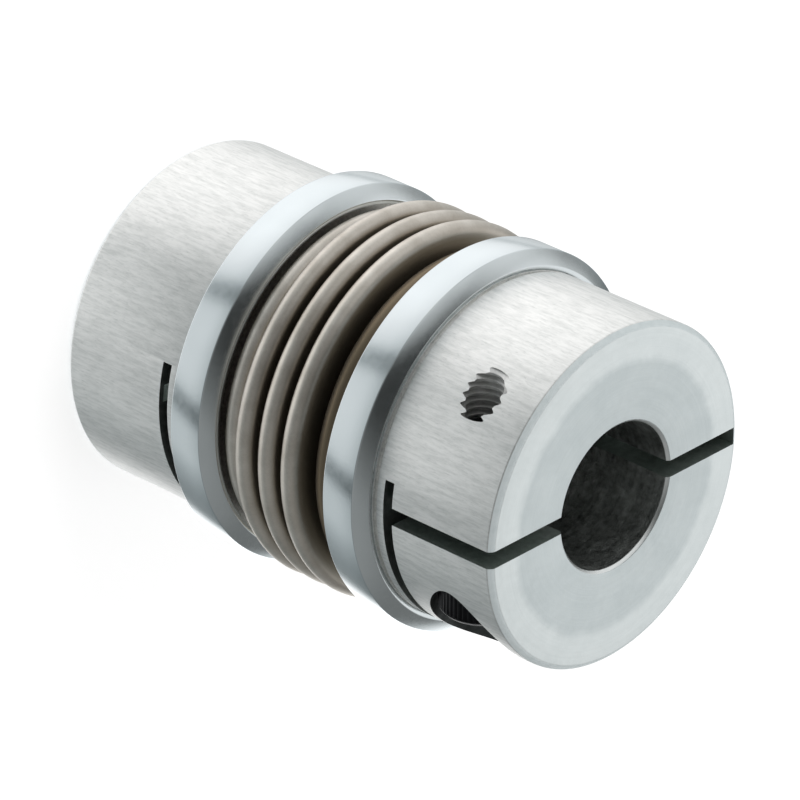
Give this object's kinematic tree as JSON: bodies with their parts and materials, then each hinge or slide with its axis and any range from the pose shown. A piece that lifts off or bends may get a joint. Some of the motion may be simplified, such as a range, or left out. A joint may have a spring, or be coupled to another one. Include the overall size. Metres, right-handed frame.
{
  "type": "bellows coupling",
  "caption": "Flexible shaft coupling: two slotted clamp hubs joined by a thin stainless steel bellows held in bevelled rings.",
  "frame": {"origin": "centre of the lower hub's end face, which the coupling stands on", "axes": "+Z along the shaft axis towards the upper hub; +Y the way the clamp screws point, head to tip; +X completes the frame, across the slots"},
  "size_m": [0.026, 0.026, 0.0374],
  "materials": {
    "hub": "turned and brushed",
    "ring": "bright zinc plated",
    "bellows": "formed stainless, satin",
    "screw": "black oxide"
  },
  "bodies": {
    "lower_clamp": {"lower_hub": "hub", "lower_ring": "ring", "lower_screw": "screw", "bellows": "bellows"},
    "upper_clamp": {"upper_hub": "hub", "upper_ring": "ring", "upper_screw": "screw"}
  },
  "joints": [
    {"name": "bellows_stretch", "type": "slide", "parent": "lower_clamp", "child": "upper_clamp", "axis": [0, 0, 1], "range_m": [-0.0005, 0.0005], "stiffness_N_per_m": 40000, "deforming": ["bellows"]}
  ]
}
